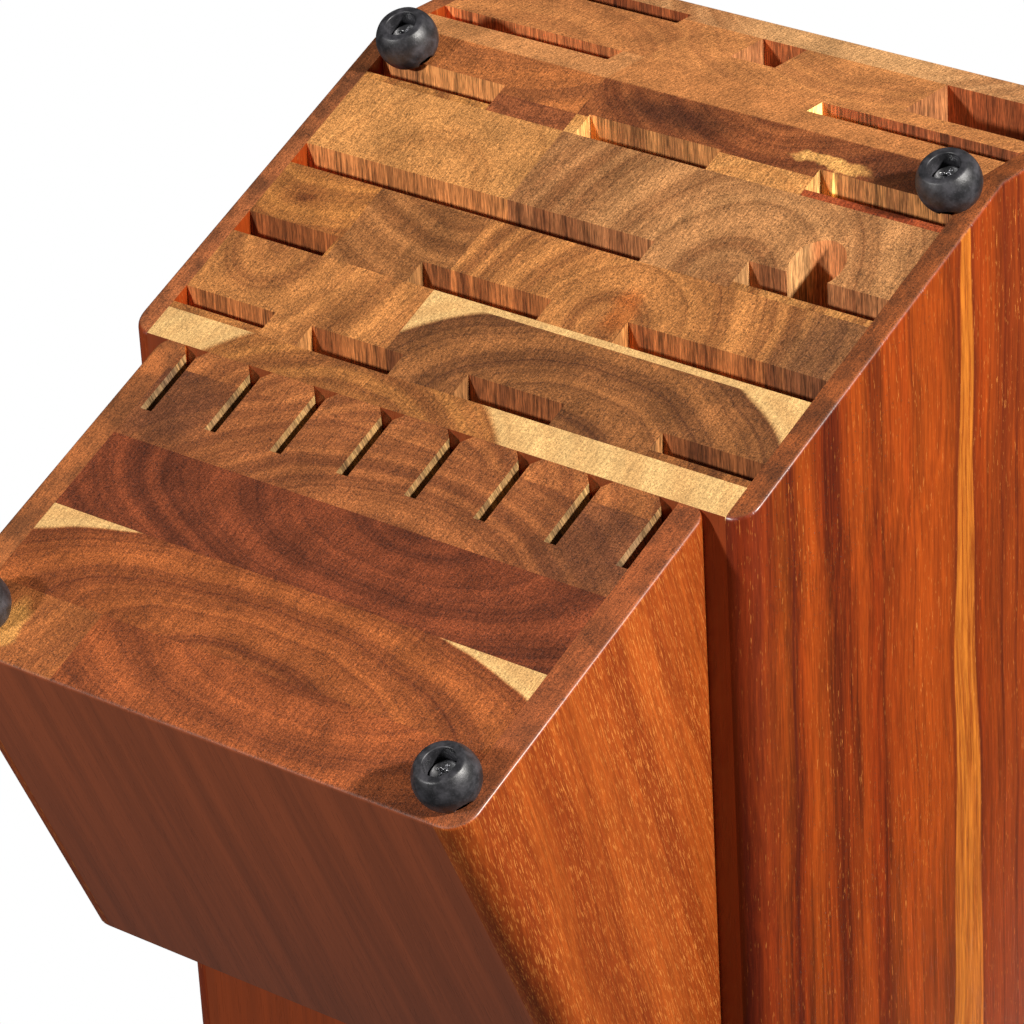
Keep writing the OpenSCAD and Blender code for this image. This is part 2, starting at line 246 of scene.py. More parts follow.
# %% Pore group
pores_group, pore_in, pore_out = group(
    "pores_and_fibres",
    [("Place", "Vector"), ("Object Place", "Vector"), ("Ends", "Float")],
    [("Pores", "Float"), ("Fibres", "Float"), ("Sanding", "Float"), ("Clouds", "Float"), ("Specks", "Float"),
     ("Scorch", "Float"), ("Relief", "Float")],
)
tubes = stretched(pores_group, pore_in["Place"], (1, 1, 0.07))
cells = add(pores_group, "TexVoronoi", {"Vector": tubes, "Scale": 1 / 0.00062, "Randomness": 1.0}, feature="F1")
size_noise = noise(pores_group, tubes, 0.0016, 1.0)
pore_edge = fade(pores_group, size_noise, 0.35, 0.75, 0.10, 0.42)
pores = fade(pores_group, maths(pores_group, "SUBTRACT", cells, pore_edge), 0.08, -0.04)
fibres = noise(pores_group, tubes, 0.00062, 3.0, 0.7)
specks = noise(pores_group, tubes, 0.00032, 2.0, 0.8)
scorch = noise(pores_group, tubes, 0.0016, 3.0, 0.7)
belt = stretched(pores_group, pore_in["Object Place"], (1, 0.05, 0.4))
belt_lines = noise(pores_group, belt, 0.0005, 3.0, 0.8)
sanding = maths(pores_group, "MULTIPLY", maths(pores_group, "SUBTRACT", belt_lines, 0.5), pore_in["Ends"])
clouds = noise(pores_group, stretched(pores_group, pore_in["Place"], (1, 1, 0.15)), 0.014, 4.0, 0.65)
relief = maths(pores_group, "MULTIPLY", pores, -0.8)
relief = maths(pores_group, "ADD", relief, maths(pores_group, "MULTIPLY", fibres, 0.55))
relief = maths(pores_group, "ADD", relief, maths(pores_group, "MULTIPLY", sanding, 0.6))
for label, value in [("Pores", pores), ("Fibres", fibres), ("Sanding", sanding), ("Clouds", clouds),
                     ("Specks", specks), ("Scorch", scorch), ("Relief", relief)]:
    pores_group.links.new(value, pore_out.inputs[label])
print("pore group:", len(pores_group.nodes), "nodes")

# %% [markdown]
# ## Which faces are end grain
# End grain drinks more oil than side grain, so it goes darker and browner. The dot product of the
# surface normal with the grain direction tells the two apart: it is near 1 on a board's ends and 0
# along its faces.

# %% End grain group
ends_group, ends_in, ends_out = group("end_grain", [("Normal", "Vector"), ("Grain", "Vector")], [("Ends", "Float")])
facing = vector_maths(ends_group, "DOT_PRODUCT", ends_in["Normal"], ends_in["Grain"], out="Value")
facing = maths(ends_group, "ABSOLUTE", facing)
ends_group.links.new(fade(ends_group, facing, 0.55, 0.85), ends_out.inputs["Ends"])

# %% [markdown]
# ## Marks on single boards
# Knots, dark streaks and pale patches belong to one board each. Each is a soft-edged oval at a
# place in the board's own directions, with a ragged edge from noise.

# %% Mark group
mark_group, mark_in, mark_out = group(
    "mark",
    [("Place", "Vector"), ("Centre", "Vector"), ("Reach", "Vector"), ("Ragged", "Float"), ("Soft", "Float")],
    [("Mark", "Float")],
)
away = vector_maths(mark_group, "SUBTRACT", mark_in["Place"], mark_in["Centre"])
ragged = noise(mark_group, stretched(mark_group, mark_in["Place"], (1, 1, 0.2)), 0.006, 3.0, out="Color")
ragged = vector_maths(mark_group, "SUBTRACT", ragged, (0.5, 0.5, 0.5))
ragged_size = add(mark_group, "CombineXYZ", {0: mark_in["Ragged"], 1: mark_in["Ragged"]})
away = vector_maths(mark_group, "ADD", away, vector_maths(mark_group, "MULTIPLY", ragged, ragged_size))
away = vector_maths(mark_group, "LENGTH", vector_maths(mark_group, "DIVIDE", away, mark_in["Reach"]), out="Value")
inner = maths(mark_group, "SUBTRACT", 1.0, mark_in["Soft"])
outer = maths(mark_group, "ADD", 1.0, mark_in["Soft"])
mark_group.links.new(fade(mark_group, away, outer, inner), mark_out.inputs["Mark"])

# %% [markdown]
# ## Board wood
# Every board is its own piece of tree, so each gets its own material from one recipe: the centre of
# its rings, how far the pale sapwood starts from there, and its two heartwood browns. The darker of
# them follows the rings. Pores darken it, clouds shift it, and side grain is warmer than end grain.

# %% Board wood recipe
SAP = tone(212, 170, 110)
LEAN_GRAIN = (0.0, -LEAN_SIN, LEAN_COS)
UPRIGHT_GRAIN = (0.0, 0.0, 1.0)
SLOT_TINT = (1.55, 1.32, 1.30)
# Paler tint for walls that face left or right: painted light on the slot ends lit by the low left lamp.
SIDEWAYS_WALL_PAINTED_LIGHT = (0.88, 1.20, 1.30, 1.0)
KERF_TINT = (1.60, 2.10, 2.40)
LEAN_OUT = Vector((0.0, LEAN_COS, LEAN_SIN))


def board_place(tree, leaning):
    """(object place, board place): x across, n or y through the thickness, grain along z."""
    coords = add(tree, "TexCoord", out="Object")
    if not leaning:
        return coords, coords
    ins = {"Vector": coords, "Location": (0, MAIN_Y, UNDERSIDE), "Rotation": (LEAN, 0, 0)}
    return coords, add(tree, "Mapping", ins, vector_type="TEXTURE")


def wood_material(name, leaning=True, heart=(0, 0), turn=0.0, flat=1.0, ring=0.006, bend=0.006,
                  light=(178, 118, 62), dark=(128, 76, 38), sap_radius=9.0, marks=(), contrast=0.9,
                  side=SLOT_TINT, outside=None):
    """Board wood: rings about heart (x, n), browns light and dark, sapwood past sap_radius.

    side multiplies the colour of side grain; outside is (direction, colour) of a lacquered face.
    """
    material = bpy.data.materials.new(name)
    material.use_nodes = True
    tree = material.node_tree
    tree.nodes.clear()
    coords, place = board_place(tree, leaning)
    normal = add(tree, "TexCoord", out="Normal")
    grain = LEAN_GRAIN if leaning else UPRIGHT_GRAIN
    ends = use(tree, ends_group, {"Normal": normal, "Grain": grain})["Ends"]
    ins = {"Vector": place, "Location": (heart[0], heart[1], 0), "Rotation": (0, 0, turn)}
    centred = add(tree, "Mapping", ins, vector_type="TEXTURE")
    rings = use(tree, rings_group, {"Place": centred, "Ring Width": ring, "Flatness": flat, "Bend": bend})
    pores = use(tree, pores_group, {"Place": place, "Object Place": coords, "Ends": ends})

    dark_share = maths(tree, "MULTIPLY", rings["Rings"], contrast)
    fine_share = maths(tree, "MULTIPLY", rings["Fine Rings"], 0.30)
    dark_share = maths(tree, "ADD", dark_share, fine_share, clamp=True)
    colour = blend(tree, dark_share, tone(*light), tone(*dark))
    sap_share = fade(tree, rings["Radius"], sap_radius - 0.0012, sap_radius + 0.0012)
    sap = blend(tree, maths(tree, "MULTIPLY", rings["Rings"], 0.35), SAP, tone(190, 134, 78))
    colour = blend(tree, sap_share, colour, sap)
    for centre, reach, shade, share, soft, ragged in marks:
        ins = {"Place": place, "Centre": (*centre, 0.0), "Reach": (*reach, 10.0), "Ragged": ragged, "Soft": soft}
        mark = use(tree, mark_group, ins)["Mark"]
        colour = blend(tree, maths(tree, "MULTIPLY", mark, share), colour, tone(*shade))
    colour = finish_wood(tree, colour, pores, ends, normal, side, sap_share)
    coat = 0.0
    if outside:
        direction, lacquer = outside
        facing = vector_maths(tree, "DOT_PRODUCT", normal, tuple(direction), out="Value")
        coat = fade(tree, facing, 0.55, 0.85)
        streak = noise(tree, stretched(tree, place, (1, 1, 0.03)), 0.0050, 5.0, 0.7)
        shine = blend(tree, fade(tree, streak, 0.30, 0.70), tone(*[0.86 * c for c in lacquer]), tone(*lacquer))
        colour = blend(tree, coat, colour, shine)
    gloss = maths(tree, "MULTIPLY_ADD", pores["Fibres"], 0.25, 0.42)
    bump = add(tree, "Bump", {"Strength": 0.55, "Distance": 0.00018, "Height": pores["Relief"]})
    ins = {"Base Color": colour, "Roughness": gloss, "Normal": bump, "Specular IOR Level": 0.35}
    if outside:
        ins.update({"Coat Weight": coat, "Coat Roughness": 0.25})
    shader = add(tree, "BsdfPrincipled", ins)
    add(tree, "OutputMaterial", {"Surface": shader})
    return material


def finish_wood(tree, colour, pores, ends, normal, side, calm):
    """Darkens pores, shifts tone with clouds, fibres and sanding, and tints the side grain.

    calm is the share of sapwood, whose tone varies less. The cutter scorches the long walls of a
    slot in lines. Walls that face left or right, the ends of a slot, get a paler tint: painted
    light for the low left lamp that strikes them.
    """
    cloud = fade(tree, pores["Clouds"], 0.25, 0.75, 0.74, 1.26)
    fibre = fade(tree, pores["Fibres"], 0.25, 0.75, 0.62, 1.38)
    speck = fade(tree, pores["Specks"], 0.25, 0.75, 0.45, 1.55)
    sanding = maths(tree, "MULTIPLY_ADD", pores["Sanding"], 1.9, 1.0)
    shade = maths(tree, "MULTIPLY", maths(tree, "MULTIPLY", cloud, fibre), maths(tree, "MULTIPLY", speck, sanding))
    shade = maths(tree, "MULTIPLY", shade, maths(tree, "MULTIPLY_ADD", pores["Pores"], -0.30, 1.0))
    shade = blend_value(tree, maths(tree, "MULTIPLY", calm, 0.40), shade, 1.0)
    colour = vector_maths(tree, "SCALE", colour)
    tree.links.new(shade, colour.node.inputs["Scale"])
    scorch = fade(tree, pores["Scorch"], 0.44, 0.72, 1.06, 0.50)
    scorched = vector_maths(tree, "SCALE", colour)
    tree.links.new(scorch, scorched.node.inputs["Scale"])
    tinted = blend(tree, 1.0, scorched, (*side, 1.0), "MULTIPLY")
    # Painted light: walls that face left or right, the slot ends, are tinted paler for the low left lamp.
    facing = maths(tree, "ABSOLUTE", vector_maths(tree, "DOT_PRODUCT", normal, (1.0, 0.0, 0.0), out="Value"))
    sideways_wall_painted_light = blend(tree, 1.0, tinted, SIDEWAYS_WALL_PAINTED_LIGHT, "MULTIPLY")
    tinted = blend(tree, fade(tree, facing, 0.55, 0.85), tinted, sideways_wall_painted_light)
    return blend(tree, ends, tinted, colour)


# %% [markdown]
# ## The boards of the leaning block
# Heart centres are in metres, x then n. They are set so that arcs, sapwood corners and dark patches
# fall where acacia glued up this way shows them.

# %% Leaning board woods
MM = 0.001


def square_end(shade, share=0.85):
    """A mark that covers the square-cut end behind the ridge of the underside."""
    return spot(0, RIDGE_N / MM + 40, 4000, 40, shade, share, 0.01, 0.0)


def spot(x, n, wide, tall, shade, share=0.8, soft=0.25, ragged=6.0):
    """One mark, with its place, its reach and the size of its ragged edge in millimetres."""
    return ((x * MM, n * MM), (wide * MM, tall * MM), shade, share, soft, ragged * MM)


board_woods = {
    "front_board": dict(heart=(0.024, -0.0446), sap_radius=0.0641, ring=0.007, light=(168, 108, 55), dark=(126, 74, 38),
                        outside=(-LEAN_OUT, (155, 64, 16))),
    "row_a_board_left": dict(heart=(-0.033, 0.005), flat=1.94, sap_radius=0.063, ring=0.009,
                             light=(146, 92, 50), dark=(92, 54, 30)),
    "row_a_board_right": dict(heart=(0.073, 0.034), ring=0.008, light=(186, 122, 66), dark=(140, 86, 46),
                              marks=[spot(44, 12, 6, 14, (96, 54, 26), 0.4, 0.6)]),
    "row_a_slip_left": dict(heart=(-0.033, 0.005), flat=1.94, light=(140, 86, 44), dark=(90, 50, 24)),
    "row_a_slip_right": dict(heart=(0.073, 0.034), light=(186, 122, 64)),
    "row_b_board_left": dict(heart=(-0.026, 0.036), ring=0.006, light=(186, 122, 66), dark=(132, 80, 42),
                             marks=[spot(-84, 44, 13, 16, (92, 60, 40), 0.70, 0.45),
                                    spot(-27, 42, 4, 6, (170, 88, 34), 0.5, 0.5)]),
    "row_b_board_middle": dict(heart=(0.030, 0.100), ring=0.007, light=(160, 104, 58), dark=(118, 72, 38)),
    "row_b_board_right": dict(heart=(0.074, 0.120), light=(180, 116, 58), dark=(134, 80, 40),
                              marks=[spot(76, 47.4, 2.6, 1.6, (88, 44, 20), 0.85, 0.4),
                                     spot(76, 47.4, 6, 3.4, (128, 70, 34), 0.5, 0.6)]),
    "row_b_slip_left": dict(heart=(-0.033, 0.005), flat=1.94, sap_radius=0.045, light=(150, 92, 48), dark=(110, 66, 34)),
    "row_c_board_left": dict(heart=(-0.0448, 0.056), ring=0.0075, bend=0.004, light=(186, 130, 80), dark=(134, 86, 50),
                             marks=[spot(14, 66, 12, 20, (118, 72, 40), 0.45, 0.7)]),
    "row_c_board_right": dict(heart=(0.050, 0.058), ring=0.010, light=(192, 132, 74), dark=(158, 102, 54), contrast=0.5),
    "row_c_slip_left": dict(heart=(-0.045, 0.056), light=(192, 132, 72)),
    "row_d_spacer_left": dict(heart=(-0.035, 0.070), ring=0.006, light=(206, 142, 80), dark=(170, 110, 58)),
    "row_d_spacer_middle": dict(heart=(0.0, 0.0), light=(210, 150, 86), dark=(190, 128, 68)),
    "row_d_spacer_right": dict(heart=(0.036, 0.140), ring=0.005, light=(146, 82, 46), dark=(112, 60, 34)),
    "row_d_slip_left": dict(heart=(-0.070, 0.080), light=(160, 76, 40), dark=(130, 56, 28)),
    "row_d_slip_right": dict(heart=(0.070, 0.080), light=(186, 126, 66)),
    "row_e_board_left": dict(heart=(-0.030, 0.150), ring=0.006, side=(3.3, 4.6, 4.6), light=(144, 82, 44), dark=(100, 50, 26),
                             marks=[spot(0, 96, 15, 4.0, (56, 28, 17), 0.80, 0.75),
                                    spot(-50, 94.6, 11, 1.7, (222, 162, 90), 0.85, 0.25),
                                    spot(-68, 97, 14, 4.0, (70, 34, 18), 0.7, 0.6),
                                    square_end((192, 124, 70))]),
    "row_e_board_right": dict(heart=(0.060, 0.170), ring=0.006, side=(2.9, 3.7, 4.0), light=(176, 104, 54), dark=(136, 78, 42),
                              marks=[square_end((200, 136, 82))]),
    "row_f_board_left": dict(heart=(-0.030, 0.180), ring=0.007, side=(0.90, 0.66, 0.72), light=(196, 128, 72), dark=(158, 98, 56), contrast=0.6),
    "row_f_board_right": dict(heart=(0.060, 0.090), ring=0.007, light=(192, 124, 70), dark=(156, 94, 52), contrast=0.6),
    "rear_board": dict(heart=(-0.010, 0.190), ring=0.008, light=(190, 136, 88), dark=(158, 104, 62), side=(1.05, 0.56, 0.40),
                       marks=[spot(-18, 147, 30, 14, (216, 164, 108), 0.6, 0.5)], outside=(LEAN_OUT, (155, 64, 16))),
}

# %% [markdown]
# ## The boards of the steak-knife block
# These stand upright, so their rings run about a vertical line and n is simply y. The widest board
# shows pale sapwood only in its two rear corners.

# %% Upright board woods
STAVE_FRONT = ((0.0, -1.0, 0.0), (166, 82, 44))
upright_woods = {
    "steak_rear_wedge": dict(heart=(0.0, -0.070), ring=0.006, light=(166, 100, 54), dark=(124, 70, 38), side=KERF_TINT),
    "steak_kerf_board": dict(heart=(-0.012, -0.085), flat=1.5, ring=0.008, light=(156, 92, 50), dark=(112, 62, 34),
                             side=KERF_TINT,
                             marks=[spot(66, -46, 14, 13, (78, 46, 32), 0.6, 0.5),
                                    spot(-66, -47, 15, 14, (80, 48, 34), 0.55, 0.5)]),
    "steak_back_board": dict(heart=(-0.020, -0.058), flat=2.6, ring=0.011, light=(126, 62, 34), dark=(88, 42, 24),
                             side=KERF_TINT),
    "steak_core_board": dict(heart=(-0.004, -0.110), flat=3.2, turn=0.02, ring=0.014, sap_radius=0.098,
                             light=(158, 86, 42), dark=(108, 54, 28)),
    "steak_front_stave_left": dict(heart=(-0.020, -0.100), flat=2.4, ring=0.012, light=(154, 80, 40), dark=(116, 58, 30),
                                   outside=STAVE_FRONT),
    "steak_front_stave_right": dict(heart=(0.080, -0.100), ring=0.009, light=(168, 98, 50), dark=(126, 70, 36),
                                    marks=[spot(61, -118, 4, 7, (206, 146, 76), 0.8, 0.3)], outside=STAVE_FRONT),
}
for node, recipe in board_woods.items():
    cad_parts[node].data.materials.clear()
    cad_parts[node].data.materials.append(wood_material(node + "_wood", True, **recipe))
for node, recipe in upright_woods.items():
    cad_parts[node].data.materials.clear()
    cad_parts[node].data.materials.append(wood_material(node + "_wood", False, **recipe))
print("board woods:", len(board_woods) + len(upright_woods))

# %% [markdown]
# ## Panel wood
# The side panels show long grain under a glossy lacquer. Their figure is drawn out along the grain:
# broad bands of orange and red-brown, finer streaks inside them, and short bright flecks. The left
# panel of the large block also has a pale wedge of sapwood.

# %% Panel wood recipe


def panel_material(name, leaning=True, light=(160, 68, 17), dark=(92, 30, 7), band=0.009, tilt=0.0,
                   wedge=None, lines=(), zones=(), flecks=0.7, rarity=0.64, shift=(0, 0, 0),
                   end=(148, 88, 52), amber=0.0):
    """Lacquered panel: bands along the grain, a sapwood wedge, thin dark lines and darker zones; one zone and one line
    on the left panel are painted shade.

    amber is how far the broad bands turn from red-brown to amber.
    """
    material = bpy.data.materials.new(name)
    material.use_nodes = True
    tree = material.node_tree
    tree.nodes.clear()
    coords, place = board_place(tree, leaning)
    normal = add(tree, "TexCoord", out="Normal")
    grain = LEAN_GRAIN if leaning else UPRIGHT_GRAIN
    ends = use(tree, ends_group, {"Normal": normal, "Grain": grain})["Ends"]
    ins = {"Vector": place, "Location": shift, "Rotation": (tilt, 0, 0)}
    tilted = add(tree, "Mapping", ins, vector_type="TEXTURE")
    pores = use(tree, pores_group, {"Place": tilted, "Object Place": coords, "Ends": ends})

    sway = noise(tree, stretched(tree, tilted, (1, 1, 1)), 0.090, 1.0, out="Color")
    sway = stretched(tree, vector_maths(tree, "SUBTRACT", sway, (0.5, 0.5, 0.5)), (0.012, 0.012, 0))
    along = vector_maths(tree, "ADD", tilted, sway)
    bands = noise(tree, stretched(tree, along, (1, 1, 0.035)), band, 4.0, 0.62)
    streaks = noise(tree, stretched(tree, along, (1, 1, 0.020)), 0.0011, 4.0, 0.75)
    share = maths(tree, "MULTIPLY", fade(tree, bands, 0.36, 0.64), 0.75)
    share = maths(tree, "ADD", share, fade(tree, streaks, 0.30, 0.70, -0.10, 0.50), clamp=True)
    colour = blend(tree, share, tone(*light), tone(*dark))
    broad = fade(tree, noise(tree, stretched(tree, along, (1, 1, 0.020)), 0.021, 2.0, 0.6), 0.42, 0.60)
    broad = maths(tree, "MULTIPLY", broad, fade(tree, streaks, 0.25, 0.65, 1.0, 0.45))
    colour = blend(tree, maths(tree, "MULTIPLY", broad, amber), colour, tone(176, 84, 20))

    parts = add(tree, "SeparateXYZ", {0: along}, out="Y").node.outputs
    across, length = parts["Y"], parts["Z"]
    # Darker zones across the panel: darker wood, except the left panel's front-corner zone, which is painted shade.
    for start, stop, shade, amount in zones:
        zone = fade(tree, across, start, stop)
        colour = blend(tree, maths(tree, "MULTIPLY", zone, amount), colour, tone(*shade))
    if wedge:
        centre, lean_rate, half, spread = wedge
        middle = maths(tree, "MULTIPLY_ADD", length, lean_rate, centre)
        reach = maths(tree, "MULTIPLY_ADD", length, spread, half)
        off = maths(tree, "ABSOLUTE", maths(tree, "SUBTRACT", across, middle))
        past = maths(tree, "SUBTRACT", off, reach)
        rim = maths(tree, "MULTIPLY", fade(tree, past, -0.0002, 0.0004), fade(tree, past, 0.0022, 0.0006))
        colour = blend(tree, maths(tree, "MULTIPLY", rim, 0.55), colour, tone(96, 34, 12))
        pale = blend(tree, fade(tree, streaks, 0.35, 0.7), tone(206, 122, 40), tone(140, 62, 16))
        colour = blend(tree, fade(tree, past, 0.0003, -0.0003, 0.0, 0.88), colour, pale)
    # Thin dark lines of the figure; the wide line at the left panel's front corner is painted shade.
    for centre, half, amount in lines:
        off = maths(tree, "ABSOLUTE", maths(tree, "SUBTRACT", across, centre))
        line = fade(tree, off, half, half * 0.2)
        line = maths(tree, "MULTIPLY", line, fade(tree, streaks, 0.30, 0.60, 0.35, 1.0))
        colour = blend(tree, maths(tree, "MULTIPLY", line, amount), colour, tone(82, 26, 10))

    end_brown = blend(tree, fade(tree, bands, 0.35, 0.65), tone(*end), tone(*[0.7 * c for c in end]))
    colour = blend(tree, ends, colour, end_brown)
    cloud = fade(tree, pores["Clouds"], 0.25, 0.75, 0.88, 1.12)
    shade = maths(tree, "MULTIPLY", cloud, fade(tree, pores["Fibres"], 0.25, 0.75, 0.80, 1.20))
    speck = fade(tree, pores["Specks"], 0.25, 0.75, 0.45, 1.55)
    speck = maths(tree, "MULTIPLY", speck, maths(tree, "MULTIPLY_ADD", pores["Sanding"], 1.9, 1.0))
    shade = maths(tree, "MULTIPLY", shade, blend_value(tree, ends, 1.0, speck))
    end_pores = maths(tree, "MULTIPLY", pores["Pores"], ends)
    shade = maths(tree, "MULTIPLY", shade, maths(tree, "MULTIPLY_ADD", end_pores, -0.42, 1.0))
    colour = vector_maths(tree, "SCALE", colour)
    tree.links.new(shade, colour.node.inputs["Scale"])
    slits = noise(tree, stretched(tree, tilted, (1, 1, 0.09)), 0.00030, 2.0, 0.6)
    slits = maths(tree, "MULTIPLY", fade(tree, slits, rarity, rarity + 0.09), maths(tree, "SUBTRACT", 1.0, ends))
    slits = maths(tree, "MULTIPLY", slits, fade(tree, pores["Clouds"], 0.35, 0.62, 0.30, 1.0))
    colour = blend(tree, maths(tree, "MULTIPLY", slits, flecks), colour, tone(228, 146, 70))

    gloss = maths(tree, "MULTIPLY_ADD", ends, 0.22, 0.30)
    gloss = maths(tree, "MULTIPLY_ADD", pores["Fibres"], 0.12, gloss)
    bump = add(tree, "Bump", {"Strength": 0.30, "Distance": 0.00012, "Height": pores["Relief"]})
    coat = maths(tree, "MULTIPLY_ADD", ends, -0.22, 0.22)
    ins = {"Base Color": colour, "Roughness": gloss, "Normal": bump, "Specular IOR Level": 0.45,
           "Coat Weight": coat, "Coat Roughness": 0.22}
    shader = add(tree, "BsdfPrincipled", ins)
    add(tree, "OutputMaterial", {"Surface": shader})
    return material


# %% [markdown]
# ## Side panels as carried profiles
# A panel's outline is a strip with its two outer corners rounded. Carried along the grain it makes
# the whole panel. Near each end the outline shrinks along a quarter circle, which is how a router
# bit rounds the end edges. The glued side stays flat and sharp, as glued faces do. The outline and
# the shrink are both worked out as arrays, so the panel is a grid of (ring, outline point).

# %% Carried profile
ROUND_STEPS = 5
EDGE_ROUND = 0.0010


def end_rings(radius):
    """(shrink, lift) of each ring at an end: radius (1 - cos a) and radius (1 - sin a), a 0 to 90."""
    angle = np.linspace(0, math.pi / 2, ROUND_STEPS)
    return radius * (1 - np.cos(angle)), radius * (1 - np.sin(angle))


def quarter(cx, cy, radius, start, steps=9):
    """Points of a quarter circle about (cx, cy), turning left from the angle start in degrees."""
    angle = np.radians(np.linspace(start, start + 90, steps))
    return np.stack([cx + radius * np.cos(angle), cy + radius * np.sin(angle)], axis=-1)


def carried(name, rings, caps, material, node):
    """A closed surface from rings of equal length, with its end rings filled by caps of indices."""
    rings = np.asarray(rings)
    rows, cols = rings.shape[:2]
    r, c = np.meshgrid(np.arange(rows - 1), np.arange(cols), indexing="ij")
    nxt = (c + 1) % cols
    quads = np.stack([r * cols + c, r * cols + nxt, (r + 1) * cols + nxt, (r + 1) * cols + c], axis=-1)
    faces = quads.reshape(-1, 4).tolist()
    faces += [list(reversed(cap)) for cap in caps]
    faces += [[i + (rows - 1) * cols for i in cap] for cap in caps]
    return new_piece(name, rings.reshape(-1, 3), faces, material, (node,))


def new_piece(name, points, faces, material, nodes, smooth=math.radians(38)):
    """A mesh object on the root body that stands for nodes, smooth except across sharp edges."""
    mesh = bpy.data.meshes.new(name)
    mesh.from_pydata(np.asarray(points).tolist(), [], faces)
    built = bmesh.new()
    built.from_mesh(mesh)
    bmesh.ops.recalc_face_normals(built, faces=built.faces)
    built.to_mesh(mesh)
    built.free()
    mesh.materials.append(material)
    mesh.polygons.foreach_set("use_smooth", np.ones(len(mesh.polygons), bool))
    mesh.set_sharp_from_angle(angle=smooth)
    piece = bpy.data.objects.new(name, mesh)
    bpy.context.scene.collection.objects.link(piece)
    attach(piece, "root")
    if nodes:
        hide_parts(*nodes)
    return piece


# %% [markdown]
# ## Large side panels
# The level underside cuts the panel at the lean, up to the ridge where the square-cut end takes
# over. The outline keeps one point on each side at that ridge, so both flats stay flat.

# %% Large side panels
MAIN_PANEL_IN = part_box("main_side_right")[0].x
MAIN_PANEL_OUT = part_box("main_side_right")[1].x
MAIN_CORNER = 0.0055


def main_panel_outline(shrink):
    """(x, n) points of the strip, counter-clockwise, with the outer side shrunk."""
    x_out, r = MAIN_PANEL_OUT - shrink, MAIN_CORNER - shrink
    low, high = shrink, MAIN_T - shrink
    front = quarter(x_out - r, low + r, r, -90)
    back = quarter(x_out - r, high - r, r, 0)
    inner = [[MAIN_PANEL_IN, high], [MAIN_PANEL_IN, RIDGE_N], [MAIN_PANEL_IN, low]]
    return np.concatenate([front, [[x_out, RIDGE_N]], back, inner])


def main_panel(side, material):
    """The leaning panel on one side, which is +1 for the right and -1 for the left."""
    rings = []
    for shrink, lift in zip(*end_rings(EDGE_ROUND)):
        x, n = main_panel_outline(shrink).T
        rings.insert(0, leaned(side * x, n, np.maximum(-n * LEAN_SIN / LEAN_COS, BOTTOM_G) + lift))
    for shrink, lift in zip(*end_rings(EDGE_ROUND)):
        x, n = main_panel_outline(shrink).T
        rings.append(leaned(side * x, n, TOP_G - lift))
    count = len(rings[0])
    ridge_out, ridge_in = 9, count - 2
    caps = [list(range(0, ridge_out + 1)) + [ridge_in, count - 1], list(range(ridge_out, ridge_in + 1))]
    name = "main_side_" + ("right" if side > 0 else "left")
    return carried(name + "_panel", rings, caps, material, name)


# The left panel's zone that darkens from 14 mm to 2 mm towards its front edge, and its wide dark line at 2.5 mm, are
# painted shade along the front corner beside the small block.
left_figure = panel_material(
    "main_side_left_wood", light=(148, 54, 10), dark=(80, 24, 5), end=(136, 72, 33), amber=0.45, wedge=(0.0849, -0.0081, 0.0026, 0.0224),
    lines=[(0.0165, 0.0008, 0.8), (0.0025, 0.0030, 0.5), (0.1000, 0.0007, 0.6), (0.1060, 0.0010, 0.7), (0.0640, 0.0005, 0.4)],
    zones=[(0.090, 0.104, (130, 50, 16), 0.45), (0.014, 0.002, (120, 38, 14), 0.55)])
right_figure = panel_material(
    "main_side_right_wood", shift=(0.3, 0.1, 0.5), end=(167, 96, 54), amber=0.45, wedge=(0.121, 0.004, 0.004, 0.010),
    lines=[(0.030, 0.0007, 0.7), (0.072, 0.0009, 0.6)], zones=[(0.030, 0.010, (140, 48, 16), 0.5)])
left_panel = main_panel(-1, left_figure)
right_panel = main_panel(+1, right_figure)
print("large panels:", [len(p.data.polygons) for p in (left_panel, right_panel)], "faces each")

# %% [markdown]
# ## Small side panels and the front staves
# These stand upright. Their top is cut square to the lean, so it slopes, and their back is cut to
# the large block's front face. A ring's height at each point therefore depends on its y: the top
# follows z = UNDERSIDE + (top_g + (y - MAIN_Y) sin) / cos, and the back follows the lean.

# %% Small block outlines
small = np.array([v.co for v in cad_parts["steak_side_left"].data.vertices], float)
SMALL_TOP_G = grain_of(small.T).max()
SMALL_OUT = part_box("steak_side_right")[1].x
SMALL_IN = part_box("steak_side_right")[0].x
SMALL_CORNER = 0.007
REAR_CORNER = 0.003
STAVE_BACK_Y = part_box("steak_front_stave_left")[1].y
STAVE_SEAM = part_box("steak_front_stave_left")[1].x


def small_top(y):
    """Height of the small block's sloping top at depth y."""
    return UNDERSIDE + (SMALL_TOP_G + (y - MAIN_Y) * LEAN_SIN) / LEAN_COS


def small_panel_ring(side, shrink, lift, at_top):
    """One ring of a small side panel, whose rear outer corner is rounded along the lean."""
    x_out, r = SMALL_OUT - shrink, SMALL_CORNER - shrink
    front = quarter(x_out - r, FRONT_Y + shrink + r, r, -90)
    a = np.radians(np.linspace(0, 90, 7))
    x_back = np.append(SMALL_OUT - REAR_CORNER + (REAR_CORNER - shrink) * np.cos(a), SMALL_IN)
    n_back = np.append(-REAR_CORNER * (1 - np.sin(a)), 0.0)
    if at_top:
        y_back = MAIN_Y + n_back * LEAN_COS - (SMALL_TOP_G - lift * LEAN_COS) * LEAN_SIN
    else:
        y_back = MAIN_Y + (n_back - lift * LEAN_SIN) / LEAN_COS
    outline = np.concatenate([front, np.stack([x_back, y_back], axis=-1), [[SMALL_IN, FRONT_Y + shrink]]])
    x, y = outline.T
    z = small_top(y) - lift if at_top else np.full(len(x), UNDERSIDE + lift)
    return np.stack([side * x, y, z], axis=-1)


